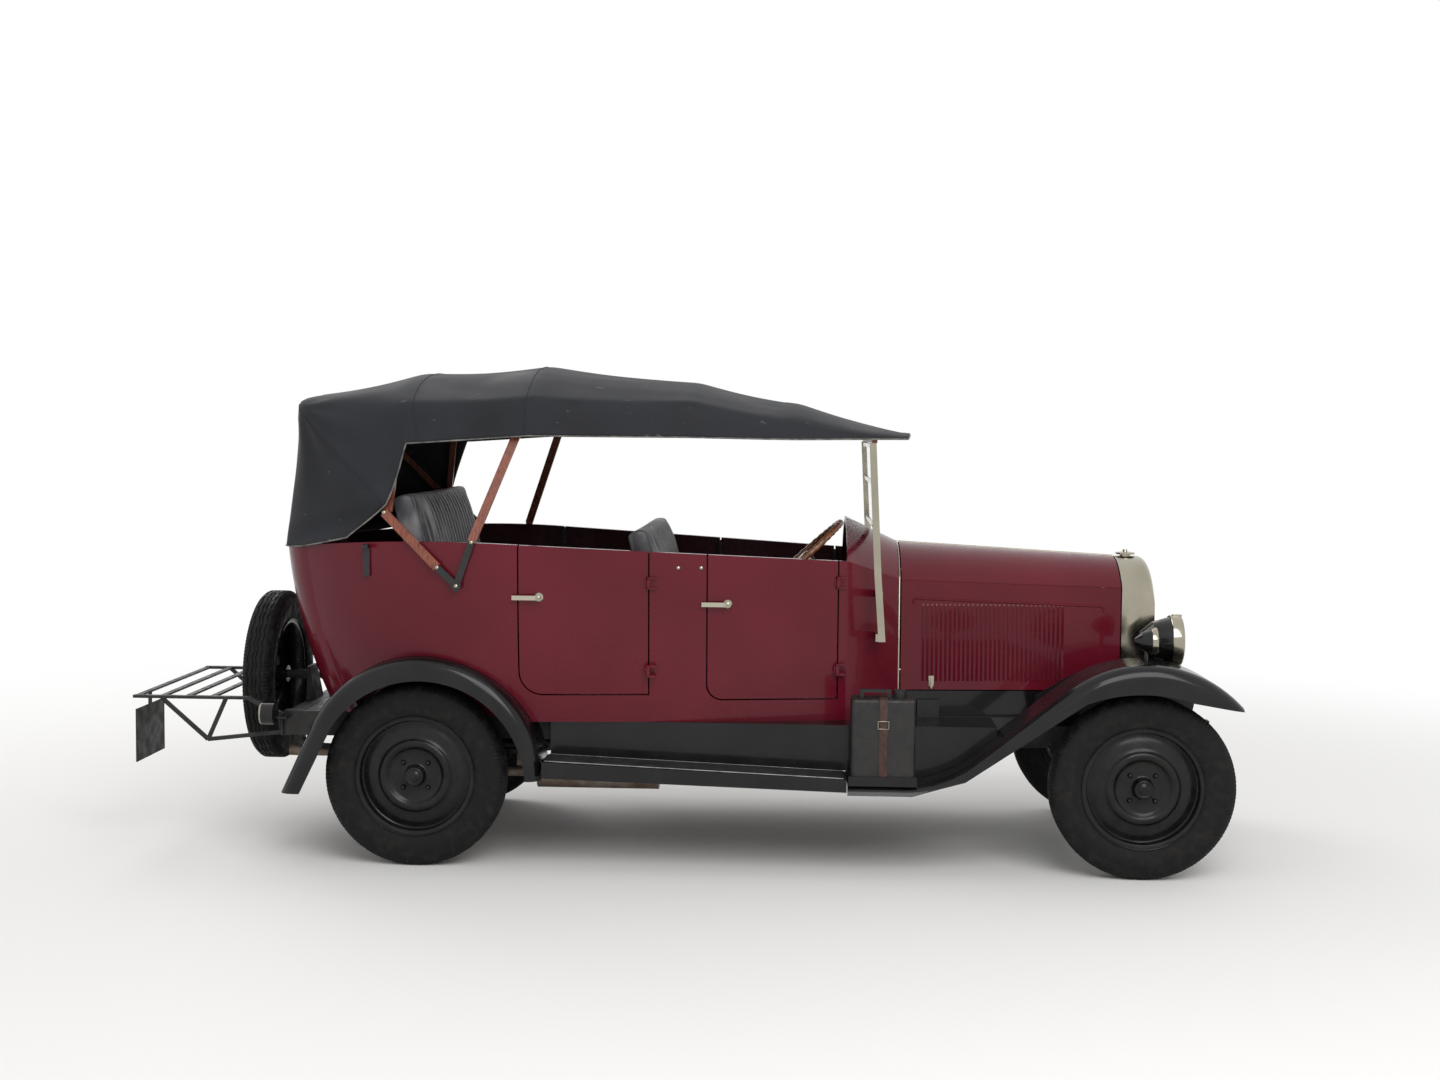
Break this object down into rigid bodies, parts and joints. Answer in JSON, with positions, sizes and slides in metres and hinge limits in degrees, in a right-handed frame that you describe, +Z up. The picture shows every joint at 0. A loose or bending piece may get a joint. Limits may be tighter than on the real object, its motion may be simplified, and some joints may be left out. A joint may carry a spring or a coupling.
{
  "type": "open touring car",
  "caption": "Open touring car of the late 1920s with a raised canvas hood, disc wheels, flared wings, opening doors and bonnet, and steered front wheels.",
  "frame": {"origin": "on the ground, at the centre of the car's length and width", "axes": "+X forward, +Y to the car's left, +Z up"},
  "size_m": [4.45, 1.52, 2.0078],
  "materials": {
    "maroon_paint": "glossy coach enamel, slightly aged",
    "black_enamel": "black stove enamel with fine scratches",
    "wheel_black": "black stove enamel, dusty",
    "lamp_black": "gloss black enamel",
    "nickel": "nickel plate, warm and lightly tarnished",
    "spring_steel": "oily dark steel",
    "engine_iron": "cast iron, oily",
    "exhaust_steel": "bare pipe, pale with heat",
    "core_black": "matt black gilled core",
    "dark_wood": "varnished walnut",
    "ash_wood": "reddish varnished ash",
    "wheel_rim_wood": "varnished wood rim",
    "board_rubber": "ribbed rubber on black wood",
    "tyre_rubber": "black rubber, dusty on the sidewall",
    "canvas": "charcoal duck with pale scuffs",
    "leather": "dark grey pleated hide with pale wear",
    "can_green": "dark green enamel",
    "glass": "clear flat glass",
    "lamp_glass": "clear lamp glass"
  },
  "bodies": {
    "root": {"chassis_frame": "black_enamel", "front_axle": "black_enamel", "rear_axle": "black_enamel", "leaf_springs": "spring_steel", "engine_block": "engine_iron", "propeller_shaft": "spring_steel", "exhaust": "exhaust_steel", "fuel_tank": "black_enamel", "radiator_shell": "nickel", "radiator_core": "core_black", "scuttle": "maroon_paint", "dash_panel": "dark_wood", "body_tub": "maroon_paint", "front_wings": "black_enamel", "rear_wings": "black_enamel", "running_boards": "board_rubber", "side_aprons": "black_enamel", "windscreen_frame": "nickel", "windscreen_glass": "glass", "lamps": "lamp_black", "lamp_lenses": "lamp_glass", "front_seat": "leather", "rear_seat": "leather", "hood_canvas": "canvas", "hood_sticks": "ash_wood", "hood_irons": "lamp_black", "steering_column": "black_enamel", "bonnet_hinge_rod": "nickel", "spare_tyre": "tyre_rubber", "spare_wheel": "wheel_black", "luggage_rack": "black_enamel", "petrol_can": "can_green"},
    "steering_wheel": {"steering_wheel": "wheel_rim_wood"},
    "track_rod": {"track_rod": "spring_steel"},
    "knuckle_left": {"knuckle_left": "black_enamel"},
    "wheel_front_left": {"tyre_front_left": "tyre_rubber", "wheel_front_left": "wheel_black"},
    "door_front_left": {"door_front_left": "maroon_paint"},
    "wheel_rear_left": {"tyre_rear_left": "tyre_rubber", "wheel_rear_left": "wheel_black"},
    "door_rear_left": {"door_rear_left": "maroon_paint"},
    "bonnet_top_left": {"bonnet_top_left": "maroon_paint"},
    "bonnet_side_left": {"bonnet_side_left": "maroon_paint"},
    "knuckle_right": {"knuckle_right": "black_enamel"},
    "wheel_front_right": {"tyre_front_right": "tyre_rubber", "wheel_front_right": "wheel_black"},
    "door_front_right": {"door_front_right": "maroon_paint"},
    "wheel_rear_right": {"tyre_rear_right": "tyre_rubber", "wheel_rear_right": "wheel_black"},
    "door_rear_right": {"door_rear_right": "maroon_paint"},
    "bonnet_top_right": {"bonnet_top_right": "maroon_paint"},
    "bonnet_side_right": {"bonnet_side_right": "maroon_paint"}
  },
  "joints": [
    {"name": "steer_left", "type": "hinge", "parent": "root", "child": "knuckle_left", "pos_m": [1.86, 0.52, 0.362], "axis": [0, 0, 1], "range_deg": [-30, 30]},
    {"name": "steer_right", "type": "hinge", "parent": "root", "child": "knuckle_right", "pos_m": [1.86, -0.52, 0.362], "axis": [0, 0, 1], "range_deg": [-30, 30]},
    {"name": "track_rod_pivot", "type": "hinge", "parent": "knuckle_left", "child": "track_rod", "pos_m": [1.695, 0.52, 0.286], "axis": [0, 0, 1], "range_deg": [-30, 30]},
    {"name": "steering_wheel_turn", "type": "hinge", "parent": "root", "child": "steering_wheel", "pos_m": [0.525, -0.225, 1.228], "axis": [-0.6801, 0, 0.7331], "range_deg": [-300, 300]},
    {"name": "front_left_spin", "type": "hinge", "parent": "knuckle_left", "child": "wheel_front_left", "pos_m": [1.86, 0.615, 0.362], "axis": [0, 1, 0], "continuous": true},
    {"name": "rear_left_spin", "type": "hinge", "parent": "root", "child": "wheel_rear_left", "pos_m": [-1.01, 0.615, 0.362], "axis": [0, 1, 0], "continuous": true},
    {"name": "door_front_left_swing", "type": "hinge", "parent": "root", "child": "door_front_left", "pos_m": [0.666, 0.48952, 0.95], "axis": [0, 0, -1], "range_deg": [0, 70]},
    {"name": "door_rear_left_swing", "type": "hinge", "parent": "root", "child": "door_rear_left", "pos_m": [-0.085, 0.62701, 0.95], "axis": [0, 0, -1], "range_deg": [0, 70]},
    {"name": "bonnet_top_left_lift", "type": "hinge", "parent": "root", "child": "bonnet_top_left", "pos_m": [0.923, 0, 1.2775], "axis": [0.9985, 0, -0.0547], "range_deg": [0, 60]},
    {"name": "bonnet_side_left_fold", "type": "hinge", "parent": "bonnet_top_left", "child": "bonnet_side_left", "pos_m": [0.923, 0.295, 1.138], "axis": [0.9974, -0.0653, -0.0295], "range_deg": [-30, 0]},
    {"name": "front_right_spin", "type": "hinge", "parent": "knuckle_right", "child": "wheel_front_right", "pos_m": [1.86, -0.615, 0.362], "axis": [0, 1, 0], "continuous": true},
    {"name": "rear_right_spin", "type": "hinge", "parent": "root", "child": "wheel_rear_right", "pos_m": [-1.01, -0.615, 0.362], "axis": [0, 1, 0], "continuous": true},
    {"name": "door_front_right_swing", "type": "hinge", "parent": "root", "child": "door_front_right", "pos_m": [0.666, -0.48952, 0.95], "axis": [0, 0, 1], "range_deg": [0, 70]},
    {"name": "door_rear_right_swing", "type": "hinge", "parent": "root", "child": "door_rear_right", "pos_m": [-0.085, -0.62701, 0.95], "axis": [0, 0, 1], "range_deg": [0, 70]},
    {"name": "bonnet_top_right_lift", "type": "hinge", "parent": "root", "child": "bonnet_top_right", "pos_m": [0.923, 0, 1.2775], "axis": [-0.9985, 0, 0.0547], "range_deg": [0, 60]},
    {"name": "bonnet_side_right_fold", "type": "hinge", "parent": "bonnet_top_right", "child": "bonnet_side_right", "pos_m": [0.923, -0.295, 1.138], "axis": [-0.9974, -0.0653, 0.0295], "range_deg": [-30, 0]}
  ],
  "couplings": [
    {"joint": "steer_right", "follows": "steer_left", "ratio": 1},
    {"joint": "track_rod_pivot", "follows": "steer_left", "ratio": -1},
    {"joint": "steering_wheel_turn", "follows": "steer_left", "ratio": 10},
    {"joint": "bonnet_side_left_fold", "follows": "bonnet_top_left_lift", "ratio": -0.5},
    {"joint": "bonnet_side_right_fold", "follows": "bonnet_top_right_lift", "ratio": -0.5}
  ]
}
